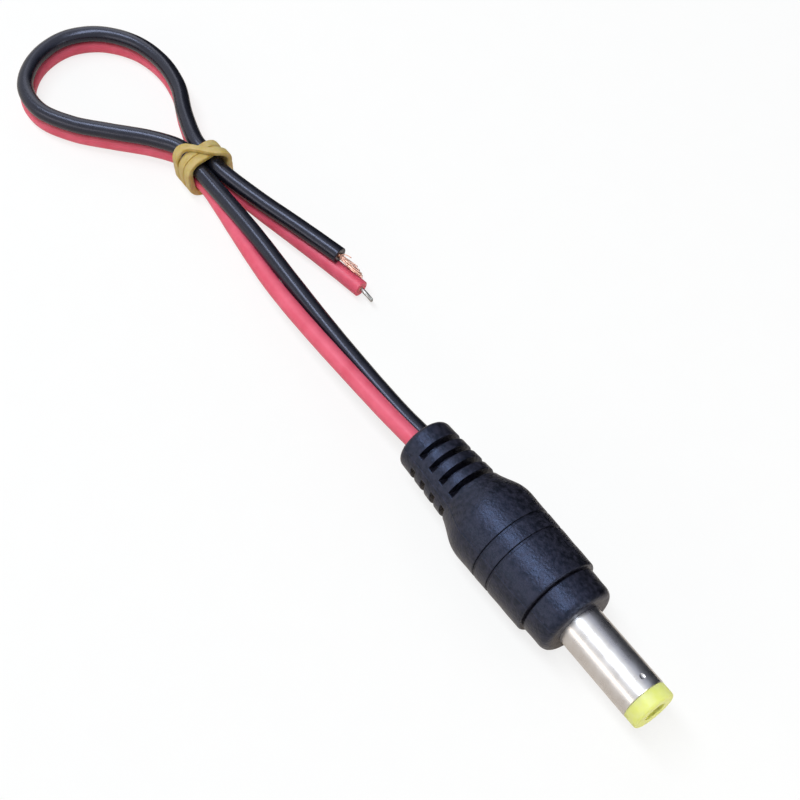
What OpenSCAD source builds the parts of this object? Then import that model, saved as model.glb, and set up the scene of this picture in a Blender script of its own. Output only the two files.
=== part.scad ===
// Moulded DC power plug on a red and black twin lead. The lead is folded back in one loop,
// tied with a rubber band, and ends in two cut wires.
// Millimetres. +X points out of the barrel, +Z is up and the floor is z = 0.

/* [Barrel] */
// outside diameter of the metal barrel
barrel_d = 5.5; // [5:0.1:6.5]
// exposed length of the barrel with its plastic tip
barrel_len = 12.4; // [9.5:0.1:14]
// wall of the barrel tube
barrel_wall = 0.4; // [0.3:0.05:0.5]
// length of the plastic tip
tip_len = 1.8; // [1.2:0.1:2.5]
// diameter of the pin that the centre contact takes
pin_d = 2.1; // [1.7:0.1:2.5]
// depth of the centre contact's bore
bore_depth = 9.5; // [7:0.5:9.5]
// width of the slits that let the contact spring
slit_w = 0.3; // [0.2:0.05:0.4]

/* [Body] */
// diameter at the shoulder, the widest place
body_d = 11; // [10:0.1:12.5]
// diameter behind the front collar
body_front_d = 10.7; // [10.2:0.1:12.3]
// length from the collar to the shoulder
body_len = 11.9; // [11:0.1:15]
// diameter of the front collar
collar_d = 9.7; // [8.7:0.1:9.9]
// length of the front collar
collar_len = 3.8; // [2.6:0.1:4.5]
// distance between the two grip grooves
groove_pitch = 2.3; // [1.8:0.1:2.8]
// depth of each grip groove
groove_depth = 0.25; // [0.1:0.05:0.35]

/* [Strain relief] */
// length of the cone behind the shoulder
cone_len = 3.4; // [2.4:0.1:4.2]
// length of the slotted boot
boot_len = 9.2; // [8.5:0.1:11.5]
// diameter of the boot at the cone
boot_root_d = 8; // [7.5:0.1:8.7]
// diameter of the boot at the cord
boot_end_d = 7; // [6.7:0.1:7.5]
// slots along each side
slot_count = 4; // [3:1:4]
// width of one slot
slot_w = 0.75; // [0.5:0.05:0.9]
// distance from slot to slot
slot_pitch = 1.95; // [1.7:0.05:2.05]
// width of the two ribs that the slots leave
rib_w = 1.9; // [1.5:0.1:2.2]
// turn of the plug about its own axis as it lies
plug_roll = -33; // [-60:1:0]

/* [Cord] */
// diameter of one insulated strand
strand_d = 2.2; // [1.9:0.1:2.4]
// diameter of its copper core
core_d = 0.7; // [0.6:0.1:1.1]
// bare length of the tinned wire end
tin_len = 2.4; // [1.5:0.1:4]

/* [Rubber band] */
// width of the band's section
band_w = 1.2; // [0.9:0.1:1.4]
// thickness of the band's section
band_t = 1; // [0.7:0.1:1.2]

/* [Hidden] */
$fn = 64;

// clearance between pieces that are moulded or pressed together
fit = 0.02;

// radii
barrel_r = barrel_d / 2;
sleeve_in_r = barrel_r - barrel_wall;
tip_r = barrel_r - 0.03;
root_r = barrel_r - barrel_wall * 0.4;
shank_r = barrel_r + 0.35;
flange_r = shank_r + 0.6;
pin_r = pin_d / 2;
contact_r = pin_r + 0.45;
strand_r = strand_d / 2;
core_r = core_d / 2;
mould_r = body_front_d / 2 - 1;

// the two strands lie flat to flat, so their spacing follows from the eight-sided section
strand_gap = strand_d * cos(22.5) + 0.04;
tail_r = strand_gap / 2 - core_r - fit;

// stations along the plug's axis, from the body's front face
lip = 0.4;
x_tip = barrel_len - tip_len;
x_mouth = barrel_len - tip_len / 2;
x_step = -collar_len;
x_shoulder = x_step - body_len;
x_boot = x_shoulder - cone_len;
x_end = x_boot - boot_len;
x_flange = x_step - body_len * 0.225;
x_washer = x_flange - barrel_wall;
x_neck = x_washer - body_len * 0.1;
x_tail = x_neck - body_len * 0.2;
x_red = x_tail - body_len * 0.08;
x_black = x_red - body_len * 0.25;
x_plate = x_black + body_len * 0.04;
x_joint_red = x_neck - body_len * 0.03;
x_joint_black = x_black + body_len * 0.21;
plate_y = max(contact_r + 2 * fit, strand_gap / 2 + core_r + fit);
plate_w = strand_d * 0.9;
x_mould = x_black - body_len * 0.05;
x_liner = barrel_len * 0.26;

// where the plug stands in the row frame
plug_len = barrel_len - x_end;
x_front = plug_len / 2 - barrel_len;
x_exit = x_front + x_end;

function body_r(x) = body_front_d / 2 + (body_d - body_front_d) / 2 * (x_step - x) / body_len;
function boot_r(x) = boot_root_d / 2 + (boot_end_d - boot_root_d) / 2 * (x_boot - x) / boot_len;
// a rounded corner at p1 between p0 and p2
function corner(p0, p1, p2, n = 4) =
    [for (i = [0:n]) let (t = i / n) p0 * (1 - t) * (1 - t) + p1 * 2 * t * (1 - t) + p2 * t * t];
function groove(x) = [
    [body_r(x), x + 0.22], [body_r(x) - groove_depth, x + 0.1],
    [body_r(x) - groove_depth, x - 0.1], [body_r(x), x - 0.22]];

// the plug lies on the widest ring of its body, at the shoulder unless the taper is turned round
axis_z = max(body_r(x_shoulder + 1), body_r(x_step - 0.3));
x_groove = x_step - body_len * 0.475;
cone_lean = (body_d - boot_root_d) / 2 / cone_len;

// outside of the moulding as radius and station, from the front face to the cord end
skin = concat(
    corner([collar_d / 2 - 1, 0], [collar_d / 2 - 0.1, 0], [collar_d / 2, -1.1]),
    [[collar_d / 2 + 0.05, x_step + 0.4], [collar_d / 2 - 0.2, x_step + 0.3],
     [collar_d / 2 - 0.2, x_step]],
    corner([body_front_d / 2 - 0.3, x_step], [body_front_d / 2, x_step],
           [body_r(x_step - 0.3), x_step - 0.3], 3),
    groove(x_groove),
    groove(x_groove - groove_pitch),
    corner([body_r(x_shoulder + 1), x_shoulder + 1], [body_d / 2, x_shoulder],
           [body_d / 2 - cone_lean, x_shoulder - 1]),
    corner([boot_root_d / 2 + cone_lean * 0.8, x_boot + 0.8], [boot_root_d / 2, x_boot],
           [boot_r(x_boot - 0.5), x_boot - 0.5], 3),
    corner([boot_r(x_end + 0.8), x_end + 0.8], [boot_end_d / 2, x_end], [boot_end_d / 2 - 0.8, x_end]));

// hollow of the moulding, from the inner mould's rear to the front face
hollow = [
    [0, x_mould - fit], [mould_r - 0.7 + fit, x_mould - fit], [mould_r + fit, x_mould + 0.9],
    [mould_r + fit, x_washer], [flange_r + fit, x_washer], [flange_r + fit, x_flange + 0.8],
    [shank_r + fit, x_flange + 0.8], [shank_r + fit, -lip], [root_r + fit, -lip], [root_r + fit, 0]];

// the cord's course behind the boot: station, side, lift off the floor and roll of the pair
band_at = -51.7;
band_y = 2.6;
run_gap = strand_d + 0.1;
y_out = band_y - run_gap / 2;
y_back = band_y + run_gap / 2;
pair_h = strand_gap / 2 + strand_r;
band_lift = band_t + 0.12;
course = [
    [0, 0, axis_z - pair_h, plug_roll], [-5.7, -0.2, 2.8, plug_roll], [-13.7, -0.3, 2.5, -24],
    [-21.7, -0.2, 2.1, -8], [-29.7, 0.1, 1.8, 18], [-37.2, 0.7, 1.5, 48], [-43.7, 1.2, 1.2, 75],
    [band_at + 3.5, y_out, band_lift, 90], [band_at, y_out, band_lift, 90],
    [band_at - 3.5, y_out, band_lift, 90],
    [-59.2, -0.8, 0.9, 90], [-63.7, -4.4, 0.6, 90], [-68.2, -7.8, 0.3, 90], [-73.2, -10, 0.1, 90],
    [-78.2, -9.4, 0, 90], [-81.7, -5.8, 0, 90], [-82.7, -0.9, 0, 90], [-80.7, 3.6, 0, 90],
    [-76.2, 6.8, 0.1, 90], [-70.7, 7.9, 0.3, 90], [-65.2, 7.2, 0.6, 90], [-60.2, 5.2, 0.9, 90],
    [band_at - 3.5, y_back, band_lift, 90], [band_at, y_back, band_lift, 90],
    [band_at + 3.5, y_back, band_lift, 90],
    [-41.7, 5, 1, 94], [-35.2, 6.6, 0.7, 104], [-28.7, 8.1, 0.4, 114], [-24.2, 9, 0.2, 120]];
last_red = len(course) - 1;
last_black = last_red - 1;

function pick(i) = course[max(0, min(len(course) - 1, i))];
function between(p0, p1, p2, p3, t) =
    (2 * p1 + (p2 - p0) * t + (2 * p0 - 5 * p1 + 4 * p2 - p3) * t * t
     + (3 * p1 - p0 - 3 * p2 + p3) * t * t * t) / 2;
function unit(v) = v / norm(v);
// the course with one point more in each gap, up to the named point
function smooth_course(last) = concat(
    [for (i = [0:last - 1], t = [0, 0.5]) between(pick(i - 1), pick(i), pick(i + 1), pick(i + 2), t)],
    [pick(last)]);
function place(q) = [x_exit + q[0], q[1], q[2] + pair_h];

// centres, tangents and the direction from the red strand to the black one
function centres(x_start, last) = concat(
    [[x_front + x_start, 0, axis_z]], [for (q = smooth_course(last)) place(q)]);
function rolls(last) = concat([plug_roll], [for (q = smooth_course(last)) q[3]]);
function tangents(c) = [for (i = [0:len(c) - 1])
    unit(c[min(i + 1, len(c) - 1)] - c[max(i - 1, 0)])];
function side(t, roll) =
    let (n = unit(cross(t, [0, 0, 1])), u = cross(n, t))
    cos(roll) * n + sin(roll) * u;

// eight points about a strand's centre at each point of its course; way is 1 for black and -1 for red
function rings(x_start, last, way, radius) =
    let (c = centres(x_start, last), r = rolls(last), t = tangents(c))
    [for (i = [0:len(c) - 1])
        let (d = side(t[i], r[i]), e = cross(t[i], d))
        for (k = [0:7])
            let (a = 22.5 + 45 * k)
            c[i] + d * (way * strand_gap / 2 + radius * cos(a)) + e * radius * sin(a)];
// faces between rings; both strands are split along the same diagonals, so that facing flats stay parallel
function ring_sides(n, way, base = 0) = [for (i = [0:n - 2], k = [0:7])
    let (a = base + 8 * i + k, b = base + 8 * i + (k + 1) % 8, a2 = a + 8, b2 = b + 8)
    each way > 0 ? [[a, a2, b], [b, a2, b2]] : [[a, b2, b], [a, a2, b2]]];
function flipped(faces) = [for (f = faces) [f[0], f[2], f[1]]];

// insulation: a tube with an eight-sided bore
module insulation(x_start, last, way) {
    outside = rings(x_start, last, way, strand_r);
    inside = rings(x_start, last, way, core_r + fit);
    m = len(outside);
    n = m / 8;
    ends = [for (k = [0:7]) let (j = (k + 1) % 8)
        each [[k, j, m + j, m + k], [m - 8 + j, m - 8 + k, 2 * m - 8 + k, 2 * m - 8 + j]]];
    polyhedron(concat(outside, inside),
               concat(ring_sides(n, way), flipped(ring_sides(n, way, m)), ends), convexity = 10);
}
// conductor: fills the bore and runs on, bare, into the plug
module conductor(x_start, last, way) {
    points = rings(x_start, last, way, core_r);
    n = len(points) / 8;
    polyhedron(points, concat([[for (k = [0:7]) k]], ring_sides(n, way),
                              [[for (k = [7:-1:0]) 8 * (n - 1) + k]]), convexity = 10);
}

// puts what stands on +Z at a strand's free end, with +X away from the other strand
module at_free_end(last, way) {
    c = centres(x_red, last);
    t = tangents(c)[len(c) - 1];
    p = c[len(c) - 1] + side(t, pick(last)[3]) * way * strand_gap / 2;
    roll = pick(last)[3];
    translate(p)
        rotate([0, acos(t[2]), atan2(t[1], t[0])])
            rotate([0, 0, atan2(-cos(roll), -sin(roll)) + (way > 0 ? 0 : 180)])
                children();
}

// the band's course around the four strands, by length from the top centre
band_r = strand_r + band_t / 2 + 0.06;
band_cy = run_gap / 2;
band_cz = strand_gap / 2;
quarter = PI * band_r / 2;
girth = 4 * band_cy + 4 * band_cz + 4 * quarter;
function bend(s) = s / band_r * 180 / PI;
function arc_at(cy, cz, a) = [cy + band_r * cos(a), cz + band_r * sin(a), a];
function around(s) =
    s < band_cy ? [s, band_cz + band_r, 90]
    : s < band_cy + quarter ? arc_at(band_cy, band_cz, 90 - bend(s - band_cy))
    : s < band_cy + quarter + 2 * band_cz ? [band_cy + band_r, band_cz - (s - band_cy - quarter), 0]
    : s < band_cy + 2 * quarter + 2 * band_cz
        ? arc_at(band_cy, -band_cz, -bend(s - band_cy - quarter - 2 * band_cz))
    : s < 3 * band_cy + 2 * quarter + 2 * band_cz
        ? [band_cy - (s - band_cy - 2 * quarter - 2 * band_cz), -band_cz - band_r, -90]
    : s < 3 * band_cy + 3 * quarter + 2 * band_cz
        ? arc_at(-band_cy, -band_cz, -90 - bend(s - 3 * band_cy - 2 * quarter - 2 * band_cz))
    : s < 3 * band_cy + 3 * quarter + 4 * band_cz
        ? [-band_cy - band_r, -band_cz + (s - 3 * band_cy - 3 * quarter - 2 * band_cz), 180]
    : s < 3 * band_cy + 4 * quarter + 4 * band_cz
        ? arc_at(-band_cy, band_cz, 180 - bend(s - 3 * band_cy - 3 * quarter - 4 * band_cz))
    : [s - girth, band_cz + band_r, 90];
function ease(t, a, b) = let (u = max(0, min(1, (t - a) / (b - a)))) u * u * (3 - 2 * u);

// three turns side by side, then one crossing back over the top of the others;
// all of them are pressed thinner there
band_turns = 3;
band_steps = 28;
band_pitch = band_w + 0.06;
cross_from = 2.62;
cross_to = 2.84;
band_span = band_pitch * cross_from;
function band_x(t) = band_span / 2 + band_pitch * (
    t < cross_from ? -t
    : t < cross_to ? (band_turns - cross_to + cross_from) * ease(t, cross_from, cross_to) - cross_from
    : band_turns - t);
function band_press(t) = let (f = t + 0.27, p = abs(f - floor(f + 0.5))) 0.7 + 0.3 * ease(p, 0.1, 0.24);
function band_over(t) =
    ease(t, cross_from - 0.1, cross_from + 0.03) * (1 - ease(t, cross_to - 0.03, cross_to + 0.1));
function band_rise(t) = band_t * (band_press(t) - 1) / 2 + band_over(t) * (band_t * band_press(t) + 0.08);

// eight corners of the band's section: across it, and through it
band_section = [
    [0.5, 0.25], [0.25, 0.5], [-0.25, 0.5], [-0.5, 0.25],
    [-0.5, -0.25], [-0.25, -0.5], [0.25, -0.5], [0.5, -0.25]];

module band_loop() {
    n = band_turns * band_steps;
    points = [for (i = [0:n - 1])
        let (t = i / band_steps, f = t + 0.27, s = (f - floor(f)) * girth, p = around(s), a = p[2])
        for (q = band_section)
            let (h = band_rise(t) + q[1] * band_t * band_press(t))
            [band_x(t) + q[0] * band_w, p[0] + h * cos(a), p[1] + h * sin(a)]];
    sides = [for (i = [0:n - 1], k = [0:7])
        let (j = (i + 1) % n, a = 8 * i + k, b = 8 * i + (k + 1) % 8)
        let (a2 = 8 * j + k, b2 = 8 * j + (k + 1) % 8)
        each [[a, b, a2], [b, b2, a2]]];
    polyhedron(points, sides, convexity = 10);
}

// turns a section of radius and station about the plug's axis
module lathe(outline) {
    rotate([0, 90, 0])
        rotate_extrude()
            polygon(outline);
}
module rod(x0, x1, r) {
    translate([x0, 0, 0])
        rotate([0, 90, 0])
            cylinder(h = x1 - x0, r = r);
}
module plug_frame() {
    translate([x_front, 0, axis_z])
        rotate([plug_roll, 0, 0])
            children();
}
// the figure-eight way that the twin cord takes through the boot
module cord_way() {
    translate([0, -strand_gap / 2, 0])
        rod(x_end - 1, x_red + fit, strand_r + fit);
    translate([0, strand_gap / 2, 0])
        rod(x_end - 1, x_black + fit, strand_r + fit);
}

// outer moulding: collar, grooved body, cone and slotted boot in one piece
function slot_x(i) = x_end + boot_len * 0.315 + slot_pitch * i;
module overmould() {
    slot_floor = strand_gap / 2 + strand_r + 0.2;
    color([0.07, 0.075, 0.09])
        plug_frame()
            difference() {
                lathe(concat(skin, [[0, x_end]], hollow));
                cord_way();
                difference() {
                    for (i = [0:slot_count - 1])
                        difference() {
                            rod(slot_x(i) - slot_w / 2, slot_x(i) + slot_w / 2, boot_root_d);
                            rod(slot_x(i) - 2, slot_x(i) + 2, slot_floor);
                        }
                    translate([x_end - 1, -boot_root_d, -rib_w / 2])
                        cube([boot_len + 2, 2 * boot_root_d, rib_w]);
                }
            }
}

// inner moulding that holds the soldered joints in line
module inner_mould() {
    color([0.9, 0.9, 0.86])
        plug_frame()
            difference() {
                lathe([[0, x_mould], [mould_r - 0.7, x_mould], [mould_r, x_mould + 0.9],
                       [mould_r, x_washer - fit], [0, x_washer - fit]]);
                cord_way();
                rod(x_neck - fit, x_washer + 1, contact_r + fit);
                rod(x_tail - fit, x_washer, tail_r + fit);
                terminal_plate(fit);
                translate([0, -strand_gap / 2, 0])
                    rod(x_red - 1, x_joint_red + fit, core_r + fit);
                translate([0, strand_gap / 2, 0])
                    rod(x_black - 1, x_joint_black + fit, core_r + fit);
                centre_blob(fit);
                sleeve_blob(fit);
            }
}

// plated barrel with its buried shank and flange; a groove at its root holds the moulding's lip
module barrel_sleeve() {
    color([0.78, 0.77, 0.74])
        plug_frame()
            difference() {
                lathe([[sleeve_in_r, x_tip], [barrel_r - 0.1, x_tip], [barrel_r, x_tip - 0.1],
                       [barrel_r, fit], [root_r, fit], [root_r, -lip - fit], [shank_r, -lip - fit],
                       [shank_r, x_flange + 0.8 - fit], [flange_r, x_flange + 0.8 - fit],
                       [flange_r, x_flange], [sleeve_in_r, x_flange]]);
                // dimples that hold the tip
                for (a = [20, 140, 260])
                    rotate([a, 0, 0])
                        translate([x_tip - tip_len * 0.8, 0, barrel_r + 0.34])
                            sphere(r = 0.5);
            }
}

// yellow nose that insulates the two poles, with the liner it runs back in
module tip_insulator() {
    color([0.85, 0.88, 0.25])
        plug_frame()
            lathe(concat(
                [[pin_r + 0.25, x_mouth + fit], [pin_r + 0.25, barrel_len - 0.1],
                 [pin_r + 0.35, barrel_len]],
                corner([tip_r - 0.4, barrel_len], [tip_r, barrel_len], [tip_r, barrel_len - 0.4]),
                [[tip_r, x_tip + fit], [sleeve_in_r - fit, x_tip + fit], [sleeve_in_r - fit, x_liner],
                 [contact_r + fit, x_liner], [contact_r + fit, x_mouth + fit]]));
}

// sprung tube that grips the pin, with its solder tail
module centre_contact() {
    color([0.80, 0.68, 0.38])
        plug_frame()
            difference() {
                union() {
                    rod(x_flange + 0.4, x_mouth, contact_r);
                    rod(x_tail, x_flange + 1, tail_r);
                }
                rod(x_mouth - bore_depth, x_mouth + 1, pin_r);
                translate([x_mouth - 6, -slit_w / 2, -contact_r - 1])
                    cube([7, slit_w, 2 * contact_r + 2]);
            }
}

// bush that keeps the contact's root clear of the barrel
module rear_insulator() {
    color([0.88, 0.87, 0.82])
        plug_frame()
            lathe([[contact_r + fit, x_liner - fit], [sleeve_in_r - fit, x_liner - fit],
                   [sleeve_in_r - fit, x_flange], [contact_r, x_flange], [contact_r, x_neck],
                   [tail_r + fit, x_neck],
                   [tail_r + fit, x_flange + 0.4 - fit], [contact_r + fit, x_flange + 0.4 - fit]]);
}

module terminal_plate(grow) {
    translate([x_plate - grow, plate_y - grow, -plate_w / 2 - grow])
        cube([x_washer - x_plate + 2 * grow + 0.1, barrel_wall + 2 * grow, plate_w + 2 * grow]);
}
// stamped washer and tail on the barrel's flange, for the black wire
module sleeve_terminal() {
    color([0.75, 0.72, 0.66])
        plug_frame() {
            lathe([[contact_r + fit, x_washer], [flange_r, x_washer],
                   [flange_r, x_flange - fit], [contact_r + fit, x_flange - fit]]);
            terminal_plate(0);
        }
}

module centre_blob(grow) {
    r = strand_gap / 4 + max(tail_r, core_r) + 0.12 + grow;
    translate([0, -strand_gap / 4, 0])
        lathe([[0, x_neck - 2.5 - grow], [r, x_neck - 2.5 - grow], [r + 0.2, x_neck - 1.5],
               [r, x_neck - 0.5 + grow], [0, x_neck - 0.5 + grow]]);
}
module sleeve_blob(grow) {
    translate([0, strand_gap / 2, 0])
        lathe([[0, x_black + 0.7 - grow], [0.65 + grow, x_black + 0.7 - grow], [0.85 + grow, x_black + 1.5],
               [0.65 + grow, x_black + 2.3 + grow], [0, x_black + 2.3 + grow]]);
}
// solder that joins the red core to the contact's tail
module centre_solder() {
    color([0.7, 0.71, 0.72])
        plug_frame()
            difference() {
                centre_blob(0);
                rod(x_tail - 1, x_washer, tail_r + fit);
                translate([0, -strand_gap / 2, 0])
                    rod(x_red - 1, x_washer, core_r + fit);
                // the two round ways run into one another as one slot
                translate([x_red - 1, -strand_gap / 2, -core_r / 2])
                    cube([x_washer - x_red + 1, strand_gap / 2, core_r]);
            }
}
// solder that joins the black core to the terminal's tail
module sleeve_solder() {
    color([0.7, 0.71, 0.72])
        plug_frame()
            difference() {
                sleeve_blob(0);
                terminal_plate(fit);
                translate([0, strand_gap / 2, 0])
                    rod(x_black - 1, x_washer, core_r + fit);
            }
}

// stranded copper from the solder joint to the cut end
module red_conductor() {
    color([0.80, 0.48, 0.30])
        conductor(x_joint_red, last_red, -1);
}
module black_conductor() {
    color([0.80, 0.48, 0.30])
        conductor(x_joint_black, last_black, 1);
}

// insulated strands of the twin cord
module red_lead() {
    color([0.82, 0.16, 0.24])
        insulation(x_red, last_red, -1);
}
module black_lead() {
    color([0.05, 0.05, 0.07])
        insulation(x_black, last_black, 1);
}

// tinned tip of the red wire
module red_tinned_end() {
    color([0.72, 0.73, 0.74])
        at_free_end(last_red, -1) {
            cylinder(h = tin_len - 0.3, r = core_r * 0.9);
            translate([0, 0, tin_len - 0.3])
                cylinder(h = 0.3, r1 = core_r * 0.9, r2 = core_r * 0.5);
        }
}
// loose copper of the black wire: turn about the core, lean and length of each
copper = [
    [0, 15, 4.2], [50, 11, 4.6], [-45, 13, 3.8], [95, 8, 4.4], [-90, 10, 4],
    [150, 3, 4.7], [-150, 2, 4.3]];
module black_strands() {
    color([0.85, 0.55, 0.38])
        at_free_end(last_black, 1) {
            cylinder(h = 0.6, r = core_r);
            for (w = copper)
                rotate([0, 0, w[0]])
                    translate([core_r * 0.6, 0, 0.3])
                        rotate([0, w[1], 0])
                            cylinder(h = w[2], r = 0.14, $fn = 16);
        }
}

// rubber band around both runs of the cord
module rubber_band() {
    color([0.80, 0.70, 0.42])
        translate([x_exit + band_at, band_y, band_lift + pair_h])
            band_loop();
}

overmould();
inner_mould();
barrel_sleeve();
tip_insulator();
centre_contact();
rear_insulator();
sleeve_terminal();
centre_solder();
sleeve_solder();
red_conductor();
black_conductor();
red_lead();
black_lead();
red_tinned_end();
black_strands();
rubber_band();
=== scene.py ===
import math

import bpy
import bmesh
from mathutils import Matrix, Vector


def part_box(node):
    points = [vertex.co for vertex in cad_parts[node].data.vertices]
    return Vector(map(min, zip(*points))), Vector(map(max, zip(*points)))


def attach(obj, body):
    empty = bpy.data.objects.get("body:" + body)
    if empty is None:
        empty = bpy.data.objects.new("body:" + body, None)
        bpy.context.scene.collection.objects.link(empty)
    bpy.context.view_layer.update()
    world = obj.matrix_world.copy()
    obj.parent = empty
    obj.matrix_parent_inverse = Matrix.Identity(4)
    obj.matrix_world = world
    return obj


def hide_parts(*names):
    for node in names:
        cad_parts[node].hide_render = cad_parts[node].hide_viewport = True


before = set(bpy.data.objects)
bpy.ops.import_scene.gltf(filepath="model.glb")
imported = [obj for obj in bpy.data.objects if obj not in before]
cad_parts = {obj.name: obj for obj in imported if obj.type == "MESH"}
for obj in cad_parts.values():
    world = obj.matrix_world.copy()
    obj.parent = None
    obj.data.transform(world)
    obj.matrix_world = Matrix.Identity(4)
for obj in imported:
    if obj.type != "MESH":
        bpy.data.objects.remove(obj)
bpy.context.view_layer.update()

# View. The plug is seen from above its left front, lying slantwise across a square picture
# with the loop of its lead at the far corner.
MM = 0.001
eye = Vector((47.06, -53.08, 157.454)) * MM
aim = Vector((-28.9, 3.1, 0.254)) * MM
view_data = bpy.data.cameras.new("view")
view_data.lens = 67.5
view_data.sensor_width = 36.0
view_data.clip_start = 0.01
view_camera = bpy.data.objects.new("view", view_data)
view_camera.location = eye
view_camera.rotation_euler = (aim - eye).to_track_quat("-Z", "Y").to_euler()
bpy.context.scene.collection.objects.link(view_camera)
bpy.context.scene.camera = view_camera


# Centre contact. A sprung tube turned from brass, slit across its mouth so that it grips the
# socket's pin; it is pushed into the insulators from behind and ends in a thin solder tail.
def new_finish(name, metallic=0.0):
    """A material, with its tree of nodes and its shader."""
    material = bpy.data.materials.new(name)
    material.use_nodes = True
    shader = material.node_tree.nodes["Principled BSDF"]
    shader.inputs["Metallic"].default_value = metallic
    return material, material.node_tree, shader


def clouds(tree, size_mm, detail=3.0, stretch=(1.0, 1.0, 1.0)):
    """Noise in patches about size_mm across; a stretch below 1 draws it out along that axis."""
    spot = tree.nodes.new("ShaderNodeTexCoord")
    mapping = tree.nodes.new("ShaderNodeMapping")
    mapping.inputs["Scale"].default_value = stretch
    noise = tree.nodes.new("ShaderNodeTexNoise")
    noise.inputs["Scale"].default_value = 1.0 / (size_mm * MM)
    noise.inputs["Detail"].default_value = detail
    tree.links.new(spot.outputs["Object"], mapping.inputs["Vector"])
    tree.links.new(mapping.outputs["Vector"], noise.inputs["Vector"])
    return noise.outputs["Fac"]


def spread(tree, pattern, low, high, start=0.3, end=0.7):
    """Goes from low to high as the pattern goes from start to end."""
    node = tree.nodes.new("ShaderNodeMapRange")
    node.inputs["From Min"].default_value = start
    node.inputs["From Max"].default_value = end
    node.inputs["To Min"].default_value = low
    node.inputs["To Max"].default_value = high
    tree.links.new(pattern, node.inputs["Value"])
    return node.outputs["Result"]


def tint(tree, pattern, first, second, start=0.3, end=0.7):
    """Goes from the first colour to the second as the pattern goes from start to end."""
    ramp = tree.nodes.new("ShaderNodeValToRGB")
    ramp.color_ramp.elements[0].position = start
    ramp.color_ramp.elements[0].color = (*first, 1.0)
    ramp.color_ramp.elements[1].position = end
    ramp.color_ramp.elements[1].color = (*second, 1.0)
    tree.links.new(pattern, ramp.inputs["Fac"])
    return ramp.outputs["Color"]


def colour(tree, shader, pattern, first, second, start=0.3, end=0.7):
    """Gives the surface two colours by a pattern."""
    tree.links.new(tint(tree, pattern, first, second, start, end), shader.inputs["Base Color"])


def roughness(tree, shader, pattern, low, high):
    """Makes the surface smoother and rougher by a pattern."""
    tree.links.new(spread(tree, pattern, low, high), shader.inputs["Roughness"])


def relief(tree, shader, pattern, depth_mm):
    """Raises the surface by depth_mm where the pattern is 1."""
    bump = tree.nodes.new("ShaderNodeBump")
    bump.inputs["Strength"].default_value = 1.0
    bump.inputs["Distance"].default_value = depth_mm * MM
    tree.links.new(pattern, bump.inputs["Height"])
    tree.links.new(bump.outputs["Normal"], shader.inputs["Normal"])


def dress(node_name, material):
    """Gives a solid of the part its finish."""
    for material_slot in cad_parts[node_name].material_slots:
        material_slot.material = material


contact_brass, tree, shader = new_finish("contact_brass", metallic=1.0)
turned = clouds(tree, 0.25, stretch=(3.0, 0.4, 0.4))
colour(tree, shader, clouds(tree, 1.2), (0.58, 0.44, 0.20), (0.74, 0.60, 0.31))
roughness(tree, shader, turned, 0.22, 0.42)
relief(tree, shader, turned, 0.006)
dress("centre_contact", contact_brass)


# Rear insulator. A moulded bush of natural plastic that keeps the contact's root clear of the
# barrel; it sits out of sight behind the yellow liner.
insulator_plastic, tree, shader = new_finish("insulator_plastic")
grain = clouds(tree, 0.4)
colour(tree, shader, grain, (0.66, 0.64, 0.56), (0.74, 0.73, 0.66))
roughness(tree, shader, grain, 0.45, 0.6)
relief(tree, shader, grain, 0.01)
dress("rear_insulator", insulator_plastic)


# Barrel. A drawn brass tube with bright nickel plate, the outer pole of the plug; its groove,
# shank and flange are buried in the moulding, and three dimples hold the tip.
ALONG = (0.12, 1.0, 1.0)
nickel_plate, tree, shader = new_finish("nickel_plate", metallic=1.0)
drawn = clouds(tree, 0.16, detail=2.0, stretch=ALONG)
handled = clouds(tree, 1.6, detail=4.0)
colour(tree, shader, handled, (0.56, 0.54, 0.535), (0.63, 0.62, 0.625))
roughness(tree, shader, handled, 0.25, 0.33)
relief(tree, shader, drawn, 0.004)
dress("barrel_sleeve", nickel_plate)


# Tip. A lemon-yellow moulded nose that keeps the two poles apart and marks the plug's size; its
# liner runs back inside the barrel around the contact.
yellow_plastic, tree, shader = new_finish("yellow_plastic")
shader.inputs["Subsurface Weight"].default_value = 0.55
shader.inputs["Subsurface Radius"].default_value = (1.0, 1.0, 0.4)
shader.inputs["Subsurface Scale"].default_value = 0.7 * MM
flow = clouds(tree, 0.9, detail=4.0)
colour(tree, shader, flow, (0.95, 0.98, 0.22), (0.99, 1.0, 0.34))
roughness(tree, shader, flow, 0.34, 0.48)
relief(tree, shader, clouds(tree, 0.14), 0.008)
dress("tip_insulator", yellow_plastic)


# Sleeve terminal and solder. A stamped, tinned washer lies on the barrel's flange, with a tail
# for the black wire; two dull blobs of solder join the copper to it and to the contact's tail.
terminal_brass, tree, shader = new_finish("terminal_brass", metallic=1.0)
stamped = clouds(tree, 0.5, detail=4.0)
colour(tree, shader, stamped, (0.55, 0.52, 0.44), (0.66, 0.64, 0.58))
roughness(tree, shader, stamped, 0.3, 0.45)
dress("sleeve_terminal", terminal_brass)

solder, tree, shader = new_finish("solder", metallic=1.0)
frosted = clouds(tree, 0.2, detail=5.0)
colour(tree, shader, frosted, (0.42, 0.43, 0.44), (0.60, 0.61, 0.62))
roughness(tree, shader, frosted, 0.35, 0.6)
relief(tree, shader, frosted, 0.03)
dress("centre_solder", solder)
dress("sleeve_solder", solder)


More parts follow.
